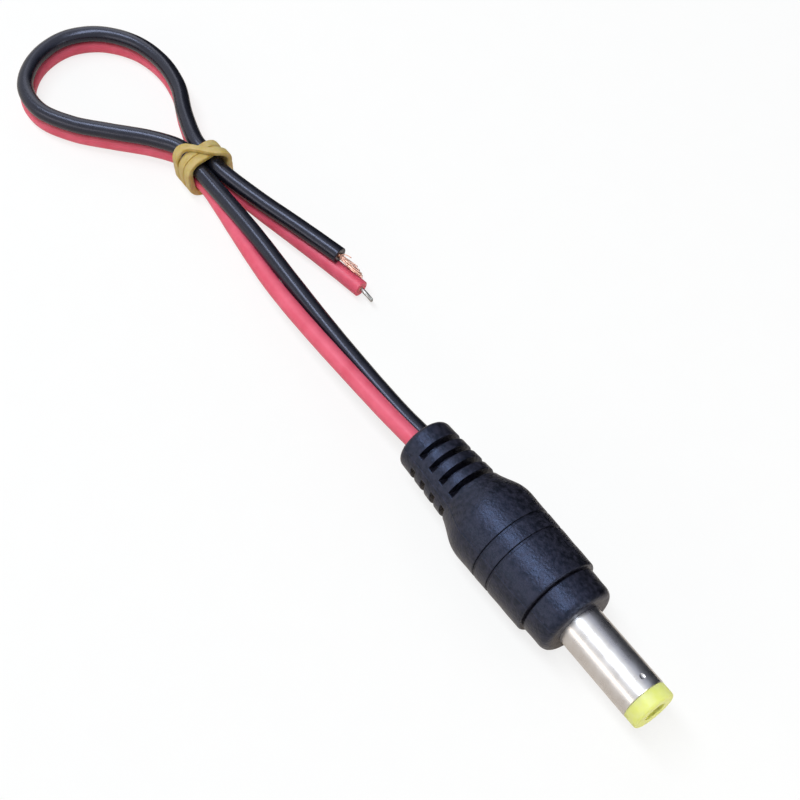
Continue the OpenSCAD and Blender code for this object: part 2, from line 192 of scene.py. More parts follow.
# Twin lead. Two soft PVC-insulated strands, red and black, run flat to flat as one cord: straight
# out of the boot, once round the loop and back through the band to the two cut ends.
X_EXIT = -20.35
AXIS_Z = 5.4874
STRAND_R = 1.1
STRAND_GAP = 2.0726
CORE_R = 0.35
PAIR_H = STRAND_GAP / 2 + STRAND_R
PLUG_ROLL = -33.0
BAND_AT = -51.7
BAND_Y = 2.6
RUN_GAP = 2.3
BAND_T = 1.0
BAND_RUN = 3.5
BAND_LIFT = BAND_T + 0.12
OUT_Y = BAND_Y - RUN_GAP / 2
BACK_Y = BAND_Y + RUN_GAP / 2
# station behind the boot, side, lift off the floor, roll of the pair in degrees
LEAD_COURSE = [
    (0, 0, AXIS_Z - PAIR_H, PLUG_ROLL), (-5.7, -0.2, 2.8, PLUG_ROLL), (-13.7, -0.3, 2.5, -24),
    (-21.7, -0.2, 2.1, -8), (-29.7, 0.1, 1.8, 18), (-37.2, 0.7, 1.5, 48), (-43.7, 1.2, 1.2, 75),
    (BAND_AT + BAND_RUN, OUT_Y, BAND_LIFT, 90), (BAND_AT, OUT_Y, BAND_LIFT, 90),
    (BAND_AT - BAND_RUN, OUT_Y, BAND_LIFT, 90),
    (-59.2, -0.8, 0.9, 90), (-63.7, -4.4, 0.6, 90), (-68.2, -7.8, 0.3, 90), (-73.2, -10, 0.1, 90),
    (-78.2, -9.4, 0, 90), (-81.7, -5.8, 0, 90), (-82.7, -0.9, 0, 90), (-80.7, 3.6, 0, 90),
    (-76.2, 6.8, 0.1, 90), (-70.7, 7.9, 0.3, 90), (-65.2, 7.2, 0.6, 90), (-60.2, 5.2, 0.9, 90),
    (BAND_AT - BAND_RUN, BACK_Y, BAND_LIFT, 90), (BAND_AT, BACK_Y, BAND_LIFT, 90),
    (BAND_AT + BAND_RUN, BACK_Y, BAND_LIFT, 90),
    (-41.7, 5, 1, 94), (-35.2, 6.6, 0.7, 104), (-28.7, 8.1, 0.4, 114), (-24.2, 9, 0.2, 120)]
LAST_RED = len(LEAD_COURSE) - 1
LAST_BLACK = LAST_RED - 1
STEPS_PER_GAP, STEPS_IN_PLUG = 12, 24


def course_at(i, share):
    """A smooth curve through the course's points, a share of the way from point i to the next."""
    last = len(LEAD_COURSE) - 1
    before, here, there, beyond = (LEAD_COURSE[max(0, min(last, i + k))] for k in (-1, 0, 1, 2))
    return [(2 * b + (c - a) * share + (2 * a - 5 * b + 4 * c - d) * share ** 2
             + (3 * b - a - 3 * c + d) * share ** 3) / 2 for a, b, c, d in zip(before, here, there, beyond)]


def strand_line(x_start, last, way):
    """Along one strand, in mm: its centre, its run, the direction to its twin and the one across."""
    stops = []
    for k in range(STEPS_IN_PLUG):
        stops.append((Vector((x_start + (X_EXIT - x_start) * k / STEPS_IN_PLUG, 0.0, AXIS_Z)), PLUG_ROLL))
    course = [course_at(i, k / STEPS_PER_GAP) for i in range(last) for k in range(STEPS_PER_GAP)]
    for station, side, lift, roll in [*course, LEAD_COURSE[last]]:
        stops.append((Vector((X_EXIT + station, side, lift + PAIR_H)), roll))
    line = []
    for i, (middle, roll) in enumerate(stops):
        run = (stops[min(i + 1, len(stops) - 1)][0] - stops[max(i - 1, 0)][0]).normalized()
        level = run.cross(Vector((0, 0, 1))).normalized()
        rise = level.cross(run)
        angle = math.radians(roll)
        to_black = level * math.cos(angle) + rise * math.sin(angle)
        inward = to_black * -way
        line.append((middle + to_black * (way * STRAND_GAP / 2), run, inward, run.cross(inward)))
    return line


def skin_faces(first, rows, sides, looped):
    """Faces over rows of points, each row a closed ring, from the point numbered first."""
    faces = []
    for i in range(rows if looped else rows - 1):
        here = first + sides * i
        following = first + sides * ((i + 1) % rows)
        for k in range(sides):
            m = (k + 1) % sides
            faces.append((here + k, here + m, following + m, following + k))
    if not looped:
        faces.append(tuple(range(first, first + sides)))
        faces.append(tuple(range(first + sides * (rows - 1), first + sides * rows)))
    return faces


def new_piece(name, points, faces, material, flat_ends=False):
    """A piece that rides on the part, from points in mm and faces; all but flat ends are shaded smooth."""
    mesh = bpy.data.meshes.new(name)
    mesh.from_pydata([point * MM for point in points], [], faces)
    build = bmesh.new()
    build.from_mesh(mesh)
    bmesh.ops.recalc_face_normals(build, faces=build.faces)
    for face in build.faces:
        face.smooth = not flat_ends or len(face.verts) == 4
    build.to_mesh(mesh)
    build.free()
    mesh.materials.append(material)
    piece = bpy.data.objects.new(name, mesh)
    bpy.context.scene.collection.objects.link(piece)
    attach(piece, "root")
    return piece


def skin_of_rows(name, rows, material, looped=True):
    """A piece whose skin passes over rows of points in mm; looped joins the last row to the first."""
    points = [point for row in rows for point in row]
    return new_piece(name, points, skin_faces(0, len(rows), len(rows[0]), looped), material)


STRAND_SIDES = 36
FLAT = STRAND_GAP / 2 - 0.012
BORE_R = CORE_R + 0.02
BORE_STEP = 6
SWELL = 0.006
CUT_ROUND = 0.05
# the cut end from its rim in to the bore: radius, place of the flat, and how far back from the cut
CUT_END = [
    (STRAND_R, FLAT, CUT_ROUND), (STRAND_R - 0.02, FLAT - 0.01, 0.015),
    (STRAND_R - 0.06, FLAT - CUT_ROUND, 0.0), (BORE_R + CUT_ROUND, FLAT, 0.0), (BORE_R, FLAT, CUT_ROUND)]


def strand_ring(stop, radius, flat, back=0.0):
    """A round section with a flat where the strand lies against its twin."""
    middle, run, inward, across = stop
    ring = []
    for k in range(STRAND_SIDES):
        angle = 2 * math.pi * k / STRAND_SIDES
        in_reach = min(radius * math.cos(angle), flat)
        ring.append(middle + inward * in_reach + across * (radius * math.sin(angle)) - run * back)
    return ring


def insulation(name, x_start, last, way, material):
    """A hollow strand from its joint in the plug to its cut end, and the line that it follows."""
    line = strand_line(x_start, last, way)
    rows = [strand_ring(line[0], BORE_R, FLAT)]
    rows.append(strand_ring(line[0], STRAND_R - CUT_ROUND, FLAT - CUT_ROUND))
    for i, stop in enumerate(line[:-1]):
        swell = SWELL * math.sin(0.9 * i) * math.sin(0.23 * i + way)
        rows.append(strand_ring(stop, STRAND_R + swell, FLAT))
    rows += [strand_ring(line[-1], radius, flat, back) for radius, flat, back in CUT_END]
    # the bore goes back to the joint in longer steps
    rows += [strand_ring(stop, BORE_R, FLAT) for stop in line[-5:4:-BORE_STEP]]
    return skin_of_rows(name, rows, material), line


red_pvc, tree, shader = new_finish("red_pvc")
shader.inputs["Specular IOR Level"].default_value = 0.4
shader.inputs["Subsurface Weight"].default_value = 0.08
shader.inputs["Subsurface Radius"].default_value = (1.0, 0.25, 0.25)
shader.inputs["Subsurface Scale"].default_value = 0.3 * MM
dye = clouds(tree, 2.5, detail=4.0)
skin = clouds(tree, 0.22)
colour(tree, shader, dye, (0.83, 0.100, 0.158), (0.93, 0.146, 0.217))
roughness(tree, shader, skin, 0.36, 0.5)
relief(tree, shader, skin, 0.008)
RED_START = -3.4495
red_lead, red_line = insulation("red_insulation", RED_START, LAST_RED, -1, red_pvc)
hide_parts("red_lead")

black_lead_pvc, tree, shader = new_finish("black_lead_pvc")
shader.inputs["Specular IOR Level"].default_value = 0.53
# the bluish specular tint is painted light: a bluish sheen that stands in for bluish light from above
shader.inputs["Specular Tint"].default_value = (0.72, 0.76, 1.0, 1.0)
dye = clouds(tree, 2.0, detail=4.0)
skin = clouds(tree, 0.5)
colour(tree, shader, dye, (0.005, 0.005, 0.008), (0.010, 0.010, 0.015))
roughness(tree, shader, skin, 0.22, 0.31)
relief(tree, shader, skin, 0.002)
BLACK_START = -6.4245
black_lead, black_line = insulation("black_insulation", BLACK_START, LAST_BLACK, 1, black_lead_pvc)
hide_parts("black_lead")


# Conductors. Each core is a rope of fine copper wires that fills its insulation from the solder
# joint to the cut end.
copper, tree, shader = new_finish("copper", metallic=1.0)
wires = clouds(tree, 0.18, detail=2.0, stretch=ALONG)
colour(tree, shader, wires, (0.62, 0.30, 0.17), (0.86, 0.50, 0.34))
roughness(tree, shader, wires, 0.25, 0.4)
relief(tree, shader, wires, 0.05)
CORE_WIRES, CORE_SIDES = 7, 28
CORE_FILL, CORE_RIDGE = 0.92, 0.06
# turn of the rope in radians from one row to the next
CORE_LAY = 0.12


def copper_core(name, node, last, way):
    """A rope of wires laid round one another along the middle of one strand."""
    x_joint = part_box(node)[1][0] / MM
    rows = []
    for i, (middle, _, inward, across) in enumerate(strand_line(x_joint, last, way)):
        ring = []
        for k in range(CORE_SIDES):
            angle = 2 * math.pi * k / CORE_SIDES
            radius = CORE_R * (CORE_FILL + CORE_RIDGE * math.cos(CORE_WIRES * (angle - CORE_LAY * i)))
            ring.append(middle + inward * (radius * math.cos(angle)) + across * (radius * math.sin(angle)))
        rows.append(ring)
    core = skin_of_rows(name, rows, copper, looped=False)
    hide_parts(node)
    return core


red_core = copper_core("red_core", "red_conductor", LAST_RED, -1)
black_core = copper_core("black_core", "black_conductor", LAST_BLACK, 1)


# Wire ends. The red core is tinned into one stiff point for a terminal; the black one is left as
# it was cut, its copper wires sprung apart over the red strand below.
TIN_LEN, TIN_R, TIN_ROOT, TIN_BEND = 2.4, 0.29, 0.3, 0.4
TIN_ROWS, TIN_SIDES = 40, 42
TIN_FILL, TIN_RIDGE, TIN_WIRES, TIN_TWIST = 0.93, 0.07, 7, 1.1
# how much the tinned core narrows, the share of its length that is rounded, and its blunt end
TIN_NARROWS, TIN_ROUND, TIN_BLUNT = 0.12, 0.1, 0.02
tinned_wire, tree, shader = new_finish("tinned_wire", metallic=1.0)
dipped = clouds(tree, 0.3, detail=4.0)
colour(tree, shader, dipped, (0.30, 0.29, 0.27), (0.48, 0.47, 0.45))
roughness(tree, shader, dipped, 0.32, 0.5)
relief(tree, shader, dipped, 0.02)
cut, run, inward, across = red_line[-1]
rows = []
for i in range(TIN_ROWS + 1):
    share = i / TIN_ROWS
    rounding = max(0.0, (share - (1.0 - TIN_ROUND)) / TIN_ROUND)
    taper = TIN_R * (1.0 - TIN_NARROWS * share) * math.sqrt(max(0.0, 1.0 - rounding ** 2) + TIN_BLUNT)
    bent = Vector((0.0, -TIN_BEND * share * share, 0.0))
    middle = cut + run * (TIN_LEN * share - TIN_ROOT * (1 - share)) + bent
    ring = []
    for k in range(TIN_SIDES):
        angle = 2 * math.pi * k / TIN_SIDES
        radius = taper * (TIN_FILL + TIN_RIDGE * math.cos(TIN_WIRES * (angle - TIN_TWIST * share)))
        ring.append(middle + inward * (radius * math.cos(angle)) + across * (radius * math.sin(angle)))
    rows.append(ring)
tinned_end = skin_of_rows("tinned_point", rows, tinned_wire, looped=False)
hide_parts("red_tinned_end")

copper_strands, tree, shader = new_finish("copper_strands", metallic=1.0)
bright = clouds(tree, 0.5, detail=2.0)
colour(tree, shader, bright, (0.60, 0.33, 0.25), (0.80, 0.54, 0.44))
roughness(tree, shader, bright, 0.34, 0.5)
WIRE_R, WIRE_ROOT, WIRE_END = 0.08, 0.4, 0.75
WIRE_STEPS, WIRE_SIDES = 20, 8
# a wire has its whole lean by a third of its length, and curls after the second share
LEAN_RATE, CURL_FROM = 3.0, 0.35
# each wire's place in the core (turn and distance from its middle), which way it springs (turn, lean,
# curl), its length and its twist
LOOSE_WIRES = [
    (0, 0.0, 180, 11, -16, 4.5, 70), (0, 0.16, 180, 10, -15, 4.2, 70), (60, 0.16, 176, 11, -16, 4.4, 70),
    (120, 0.16, 184, 12, -18, 4.6, 70), (180, 0.16, 180, 11, -17, 4.1, 70),
    (240, 0.16, 177, 12, -17, 4.5, 70), (300, 0.16, 183, 10, -14, 3.9, 70),
    (150, 0.27, 196, 11, -17, 3.4, 60), (210, 0.27, 165, 11, -17, 4.3, 80),
    (30, 0.27, 150, 14, -6, 3.6, 30), (90, 0.27, 120, 20, -30, 3.0, 0),
    (270, 0.27, -70, 28, -48, 2.5, 0), (330, 0.27, 10, 34, -55, 2.2, 0)]
cut, run, inward, across = black_line[-1]


def around_core(turn):
    """The direction out of the black core at a turn, in degrees."""
    angle = math.radians(turn)
    return -inward * math.cos(angle) + across * math.sin(angle)


points = []
faces = []
for turn, from_middle, springs, lean, curl, length, twist in LOOSE_WIRES:
    side = around_core(springs)
    other = run.cross(side)
    at = cut - run * WIRE_ROOT
    faces += skin_faces(len(points), WIRE_STEPS + 1, WIRE_SIDES, looped=False)
    for i in range(WIRE_STEPS + 1):
        share = i / WIRE_STEPS
        leans = math.radians(lean) * min(1.0, share * LEAN_RATE)
        leans += math.radians(curl) * max(0.0, share - CURL_FROM)
        if i:
            at = at + (run * math.cos(leans) + side * math.sin(leans)) * (length / WIRE_STEPS)
        up = side * math.cos(leans) - run * math.sin(leans)
        thick = WIRE_R * (WIRE_END if i in (0, WIRE_STEPS) else 1.0)
        middle = at + around_core(turn + twist * share) * from_middle
        for k in range(WIRE_SIDES):
            angle = 2 * math.pi * k / WIRE_SIDES
            points.append(middle + up * (thick * math.cos(angle)) + other * (thick * math.sin(angle)))
loose_copper = new_piece("loose_copper", points, faces, copper_strands, flat_ends=True)
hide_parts("black_strands")


# Inner moulding. A core of natural polyethylene, shot around the soldered joints before the black
# skin goes on, holds them in line; nothing of it is seen from outside.
inner_plastic, tree, shader = new_finish("inner_plastic")
shader.inputs["Subsurface Weight"].default_value = 0.2
shader.inputs["Subsurface Scale"].default_value = 0.5 * MM
grain = clouds(tree, 0.8, detail=4.0)
colour(tree, shader, grain, (0.62, 0.62, 0.56), (0.72, 0.72, 0.67))
roughness(tree, shader, grain, 0.4, 0.55)
relief(tree, shader, grain, 0.01)
dress("inner_mould", inner_plastic)


# Overmould. Collar, grooved grip, cone and slotted boot are one shot of matt black PVC; the mould
# opens across the two ribs, so its parting line runs along them from the barrel to the lead.
X_FRONT = 7.95
FIT = 0.02
FACE_HOLE_R, COLLAR_R, BODY_FRONT_R, BODY_R = 2.66, 4.85, 5.35, 5.5
X_COLLAR, X_STEP, X_SHOULDER, X_BOOT, X_END = -3.5, -3.8, -15.7, -19.1, -28.3
BOOT_ROOT_R, BOOT_END_R = 4.0, 3.5
CONE_LEAN = (BODY_R - BOOT_ROOT_R) / (X_SHOULDER - X_BOOT)
CONE_FILLET = 0.13
FACE_ROUND, STEP_ROUND, SHOULDER_ROUND, END_ROUND = 1.0, 0.35, 1.0, 0.8
GROOVES, GROOVE_DEPTH, GROOVE_EDGE = (-9.4525, -11.7525), 0.25, 0.30
# across half a groove: distance from its middle, and how far down its wall
GROOVE_WALL = [
    (GROOVE_EDGE, 0.0), (0.24, 0.015), (0.205, 0.07), (0.185, 0.5), (0.165, 0.93), (0.12, 0.99)]
SLOT_FIRST, SLOT_PITCH, SLOT_COUNT = 2.898, 1.95, 4
SLOTS = [X_END + SLOT_FIRST + SLOT_PITCH * i for i in range(SLOT_COUNT)]
SLOT_HALF, SLOT_LIP, SLOT_SOFT = 0.40, 0.06, 0.04
SLOT_FLOOR = PAIR_H + 0.2
# across each slot: distance from its edge towards its middle, and how far down its wall
SLOT_WALL = [
    (-SLOT_LIP, 0.0), (-0.03, 0.004), (-0.012, 0.018), (0.0, 0.06), (0.01, 0.2), (0.016, 0.5),
    (0.024, 0.8), (0.04, 0.94), (0.07, 0.99), (0.12, 1.0)]
RIB_HALF, RIB_REACH = 0.95, 6.0


def body_r(x):
    """Radius of the grip, which widens a little to the back."""
    return BODY_FRONT_R + (BODY_R - BODY_FRONT_R) * (X_STEP - x) / (X_STEP - X_SHOULDER)


def boot_r(x):
    """Radius of the cone and of the boot behind it, run together in a small fillet."""
    cone = BOOT_ROOT_R + CONE_LEAN * (x - X_BOOT)
    boot = BOOT_ROOT_R + (BOOT_END_R - BOOT_ROOT_R) * (X_BOOT - x) / (X_BOOT - X_END)
    return (cone + boot + math.hypot(cone - boot, CONE_FILLET)) / 2


def on_body(x):
    """Station and radius on the grip."""
    return x, body_r(x)


def on_boot(x):
    """Station and radius on the cone or the boot."""
    return x, boot_r(x)


def eased(start, corner, end, steps=8):
    """A rounded corner, as station and radius."""
    return [tuple(a * (1 - t) ** 2 + 2 * b * t * (1 - t) + c * t * t for a, b, c in zip(start, corner, end))
            for t in (i / steps for i in range(steps + 1))]


def straight(start, end, step=0.4):
    """What lies between two points of the profile, without the points themselves."""
    steps = max(1, int(math.dist(start, end) / step))
    return [tuple(a + (b - a) * i / steps for a, b in zip(start, end)) for i in range(1, steps)]


def grip_groove(x):
    """A narrow groove around the grip, from its front edge to its back edge."""
    back = [(-along, depth) for along, depth in reversed(GROOVE_WALL)]
    return [(x + along, body_r(x + along) - GROOVE_DEPTH * depth)
            for along, depth in [*GROOVE_WALL, (0.0, 1.0), *back]]


profile = [(0.0, FACE_HOLE_R), (0.0, 3.0)]
profile += eased((0.0, COLLAR_R - FACE_ROUND), (0.0, COLLAR_R - 0.1), (-1.1, COLLAR_R))
profile += straight((-1.1, COLLAR_R), (X_COLLAR, COLLAR_R + 0.03))
profile += eased((X_COLLAR, COLLAR_R + 0.03), (-3.57, COLLAR_R + 0.03), (-3.6, COLLAR_R - 0.07), 4)
# the dark line behind the collar: station and depth
COLLAR_LINE = [(-3.615, 0.36), (-3.65, 0.42), (-3.7, 0.43), (-3.77, 0.4)]
profile += [(x, COLLAR_R - depth) for x, depth in COLLAR_LINE]
behind = X_STEP - STEP_ROUND
profile += eased((X_STEP, BODY_FRONT_R - STEP_ROUND), (X_STEP, BODY_FRONT_R), on_body(behind))
for groove_x in GROOVES:
    profile += straight(on_body(behind), on_body(groove_x + GROOVE_EDGE))
    profile += grip_groove(groove_x)
    behind = groove_x - GROOVE_EDGE
shoulder_front, shoulder_back = X_SHOULDER + SHOULDER_ROUND, X_SHOULDER - SHOULDER_ROUND
profile += straight(on_body(behind), on_body(shoulder_front))
profile += eased(on_body(shoulder_front), (X_SHOULDER, BODY_R), on_boot(shoulder_back), 12)
# station, radius, and how far down into a slot
stations = [(x, radius, 0.0) for x, radius in profile]
behind = shoulder_back
for slot_x in reversed(SLOTS):
    front, back = slot_x + SLOT_HALF, slot_x - SLOT_HALF
    stations += [(*on_boot(x), 0.0) for x, _ in straight((behind, 0.0), (front + SLOT_LIP, 0.0), 0.2)]
    stations += [(*on_boot(front - along), depth) for along, depth in SLOT_WALL]
    stations.append((*on_boot(slot_x), 1.0))
    stations += [(*on_boot(back + along), depth) for along, depth in reversed(SLOT_WALL)]
    behind = back - SLOT_LIP
profile = straight(on_boot(behind), on_boot(X_END + END_ROUND), 0.3)
profile += eased(on_boot(X_END + END_ROUND), (X_END, BOOT_END_R), (X_END, BOOT_END_R - END_ROUND), 10)
stations += [(x, radius, 0.0) for x, radius in profile]

PLUG_SIDES = 288
PARTING_RISE, PARTING_HALF = 0.045, 0.5
SINK = 0.018
turns = {360.0 * i / PLUG_SIDES for i in range(PLUG_SIDES)}
turns |= {ridge + edge for ridge in (0.0, 180.0) for edge in (-0.8, -0.35, 0.35, 0.8)}
turns = sorted(turn % 360.0 for turn in turns)


def plug_point(x, radius, turn):
    """A point of the plug, by station, distance from its axis and turn from the parting plane, in mm."""
    angle = math.radians(turn + PLUG_ROLL)
    return Vector((X_FRONT + x, radius * math.cos(angle), AXIS_Z + radius * math.sin(angle)))


def way_r(turn):
    """Edge of the figure-eight way that the two strands take."""
    angle = math.radians(turn)
    half, hole = STRAND_GAP / 2, STRAND_R + FIT
    return half * abs(math.cos(angle)) + math.sqrt(hole * hole - (half * math.sin(angle)) ** 2)


def outside_r(x, radius, down, turn):
    """Radius of the skin with its slots, the slight sink of the plastic and the parting line."""
    angle = math.radians(turn)
    if down:
        rib_edge = RIB_HALF / max(RIB_HALF / RIB_REACH, abs(math.sin(angle)))
        deep = radius - max(SLOT_FLOOR, rib_edge)
        radius -= down * (deep + math.hypot(deep, SLOT_SOFT)) / 2
    sink = SINK * math.sin(1.7 * x + 2.0 * math.cos(angle)) * math.sin(3 * angle + 0.6 * x)
    off_parting = min(turn % 180.0, -turn % 180.0)
    return radius + sink + (PARTING_RISE if off_parting < PARTING_HALF else 0.0)


# the rings next to the barrel and next to the lead are true circles
FACE_PLAIN_R, END_PLAIN_R = 3.2, 2.8
rows = []
for x, radius, down in stations:
    plain = radius < (FACE_PLAIN_R if x == 0.0 else END_PLAIN_R)
    rows.append([plug_point(x, radius if plain else outside_r(x, radius, down, turn), turn)
                 for turn in turns])
# inside, from the boot's end forward: the way of the strands, with how far it flares
X_MOULD, X_WASHER, X_FLANGE, X_LIP = -14.99, -6.88, -5.68, -0.4
for x, flare in ((X_END, 0.12), (X_END + 0.04, 0.03), (X_END + 0.12, 0.0), (-20.0, 0.0), (X_MOULD, 0.0)):
    rows.append([plug_point(x, way_r(turn) + flare, turn) for turn in turns])
# then the hollow for the inner moulding and for the barrel's flange, shank and groove
MOULD_R, FLANGE_R, SHANK_R, GROOVE_R = 4.37, 3.72, 3.12, 2.61
for x, radius in ((X_MOULD, 3.67), (-14.07, MOULD_R), (X_WASHER, MOULD_R), (X_WASHER, FLANGE_R),
                  (X_FLANGE, FLANGE_R), (X_FLANGE, SHANK_R), (X_LIP, SHANK_R), (X_LIP, GROOVE_R),
                  (-0.02, GROOVE_R)):
    rows.append([plug_point(x, radius, turn) for turn in turns])

black_pvc, tree, shader = new_finish("black_pvc")
shader.inputs["Specular IOR Level"].default_value = 0.52
# the blue specular tint is painted light: a blue sheen that stands in for bluish light from above
shader.inputs["Specular Tint"].default_value = (0.45, 0.57, 0.96, 1.0)
mottle = clouds(tree, 0.6, detail=7.0)
spark = clouds(tree, 0.32, detail=5.0)
colour(tree, shader, mottle, (0.002, 0.002, 0.003), (0.021, 0.019, 0.028), 0.38, 0.66)
roughness(tree, shader, mottle, 0.29, 0.47)
relief(tree, shader, spark, 0.065)
overmould = skin_of_rows("black_moulding", rows, black_pvc)
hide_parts("overmould")


# Rubber band. A flat ring of natural rubber, wound three times around both runs of the lead and
# pulled back across its own turns.
BAND_W = 1.2
BAND_CLEAR = 0.06
BAND_R = STRAND_R + BAND_T / 2 + BAND_CLEAR
HALF_Y, HALF_Z = RUN_GAP / 2, STRAND_GAP / 2
QUARTER = math.pi * BAND_R / 2
GIRTH = 4 * HALF_Y + 4 * HALF_Z + 4 * QUARTER
BAND_TURNS, STEPS_PER_TURN, BAND_SIDES = 3, 140, 20
PITCH = BAND_W + BAND_CLEAR
# where the band crosses itself, in turns, and the share of a turn from the top at which it starts
CROSS_FROM, CROSS_TO, BAND_START = 2.62, 2.84, 0.27
SPAN = PITCH * CROSS_FROM
PRESSED, CROSS_GAP = 0.7, 0.08
# how square the band's section is, lower being squarer, and how much of its room it fills
BAND_SQUARE, BAND_FILL = 0.36, 0.97


def ease(value, start, end):
    """0 before start and 1 after end, with a soft step between them."""
    share = max(0.0, min(1.0, (value - start) / (end - start)))
    return share * share * (3 - 2 * share)


def outward(angle):
    """The direction at an angle in degrees, across the lead and up."""
    return Vector((math.cos(math.radians(angle)), math.sin(math.radians(angle))))


def around_runs(length):
    """A point of the loop around the four strands, by its length from the top, with its outward angle."""
    corners = [
        (HALF_Y, HALF_Z, 90.0, HALF_Y), (HALF_Y, -HALF_Z, 0.0, 2 * HALF_Z),
        (-HALF_Y, -HALF_Z, -90.0, 2 * HALF_Y), (-HALF_Y, HALF_Z, 180.0, 2 * HALF_Z)]
    for y, z, angle, side in corners:
        out = outward(angle)
        along = Vector((out.y, -out.x))
        if length < side:
            return Vector((y, z)) + out * BAND_R - along * (side - length), angle
        length -= side
        if length < QUARTER:
            angle -= math.degrees(length / BAND_R)
            return Vector((y, z)) + outward(angle) * BAND_R, angle
        length -= QUARTER
    return Vector((length - HALF_Y, HALF_Z + BAND_R)), 90.0


def band_x(turn):
    """Where a turn lies along the lead: side by side with the last, then back across them to the start."""
    if turn < CROSS_FROM:
        step = -turn
    elif turn < CROSS_TO:
        step = (BAND_TURNS - CROSS_TO + CROSS_FROM) * ease(turn, CROSS_FROM, CROSS_TO) - CROSS_FROM
    else:
        step = BAND_TURNS - turn
    return SPAN / 2 + PITCH * step


def band_press(turn):
    """How thick the band is left where its turns press on one another, across the top."""
    from_top = abs(turn + BAND_START - math.floor(turn + BAND_START + 0.5))
    return PRESSED + (1.0 - PRESSED) * ease(from_top, 0.1, 0.24)


def band_rise(turn):
    """How far the band stands off its loop: in where it is pressed, out where it crosses itself."""
    over = ease(turn, CROSS_FROM - 0.1, CROSS_FROM + 0.03)
    over *= 1 - ease(turn, CROSS_TO - 0.03, CROSS_TO + 0.1)
    return BAND_T * (band_press(turn) - 1) / 2 + over * (BAND_T * band_press(turn) + CROSS_GAP)


def squared(value):
    """Half the side of a rounded oblong, for the cosine or sine of a turn around it."""
    return math.copysign(abs(value) ** BAND_SQUARE, value) * 0.5


rows = []
for i in range(BAND_TURNS * STEPS_PER_TURN):
    turn = i / STEPS_PER_TURN
    middle, faces_to = around_runs((turn + BAND_START) % 1.0 * GIRTH)
    out_angle = math.radians(faces_to)
    wide = BAND_W * (1.005 + 0.03 * math.sin(9.0 * turn + 1.0))
    thick = BAND_T * band_press(turn) * BAND_FILL
    ring = []
    for k in range(BAND_SIDES):
        angle = 2 * math.pi * k / BAND_SIDES
        off_loop = band_rise(turn) + squared(math.sin(angle)) * thick
        ring.append(Vector((X_EXIT + BAND_AT + band_x(turn) + squared(math.cos(angle)) * wide,
                            BAND_Y + middle.x + off_loop * math.cos(out_angle),
                            BAND_LIFT + PAIR_H + middle.y + off_loop * math.sin(out_angle))))
    rows.append(ring)
band_rubber, tree, shader = new_finish("band_rubber")
shader.inputs["Specular IOR Level"].default_value = 0.45
shader.inputs["Subsurface Weight"].default_value = 0.5
shader.inputs["Subsurface Radius"].default_value = (1.0, 0.65, 0.12)
shader.inputs["Subsurface Scale"].default_value = 0.5 * MM
cloudy = clouds(tree, 1.3, detail=5.0)
ridges = clouds(tree, 0.22, stretch=(1.0, 0.12, 0.12))
colour(tree, shader, cloudy, (0.57, 0.385, 0.075), (0.68, 0.53, 0.225))
roughness(tree, shader, cloudy, 0.36, 0.52)
relief(tree, shader, ridges, 0.05)
rubber_band = skin_of_rows("rubber_tie", rows, band_rubber)
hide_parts("rubber_band")


# Free lead. Outside the boot only the band holds the two strands. For each strand, listed with its core and
# its bare end, and the red one with the band as well, the loop works out its path in metres and its length.
for piece, line, on_it in (
        (red_lead, red_line, [red_core, tinned_end, rubber_band]),
        (black_lead, black_line, [black_core, loose_copper])):
    path = [stop[0] * MM for stop in line]
    length = sum((there - here).length for here, there in zip(path, path[1:]))


# Studio. A pale floor under the part, a long strip lamp overhead and weaker lamps at the left, behind
# and in front; the floor and the room read as white to the eye, and the room also in bright metal, where
# the floor shows a painted warm reflection and a glowing card a painted dark one; the floor keeps the
# shadow.
def seen_directly(tree, in_gloss=1.0):
    """1 where the camera looks straight at a surface, in_gloss where gloss or glass shows it."""
    rays = tree.nodes.new("ShaderNodeLightPath")
    either = tree.nodes.new("ShaderNodeMath")
    either.operation = "MAXIMUM"
    tree.links.new(rays.outputs["Is Glossy Ray"], either.inputs[0])
    tree.links.new(rays.outputs["Is Transmission Ray"], either.inputs[1])
    total = tree.nodes.new("ShaderNodeMath")
    total.operation = "MULTIPLY_ADD"
    tree.links.new(either.outputs["Value"], total.inputs[0])
    total.inputs[1].default_value = in_gloss
    tree.links.new(rays.outputs["Is Camera Ray"], total.inputs[2])
    return total.outputs["Value"]


def stage_sheet(name, corners, material):
    """One face that belongs to the studio, by its corners in metres."""
    mesh = bpy.data.meshes.new(name)
    mesh.from_pydata(corners, [], [(0, 1, 2, 3)])
    mesh.materials.append(material)
    sheet = bpy.data.objects.new(name, mesh)
    bpy.context.scene.collection.objects.link(sheet)
    return sheet


world = bpy.data.worlds.new("studio")
bpy.context.scene.world = world
world.use_nodes = True
tree = world.node_tree
room = tree.nodes["Background"]
room.inputs["Color"].default_value = (0.95, 0.97, 1.0, 1.0)
room.inputs["Strength"].default_value = 0.20
white = tree.nodes.new("ShaderNodeBackground")
white.inputs["Color"].default_value = (1.0, 1.0, 1.0, 1.0)
white.inputs["Strength"].default_value = 1.0
choose = tree.nodes.new("ShaderNodeMixShader")
tree.links.new(seen_directly(tree), choose.inputs["Fac"])
tree.links.new(room.outputs["Background"], choose.inputs[1])
tree.links.new(white.outputs["Background"], choose.inputs[2])
tree.links.new(choose.outputs["Shader"], tree.nodes["World Output"].inputs["Surface"])

FLOOR_GLOW, GLOW_IN_GLOSS = 0.72, 0.45
FLOOR_REACH, FLOOR_SINK = 1.5, 0.02 * MM
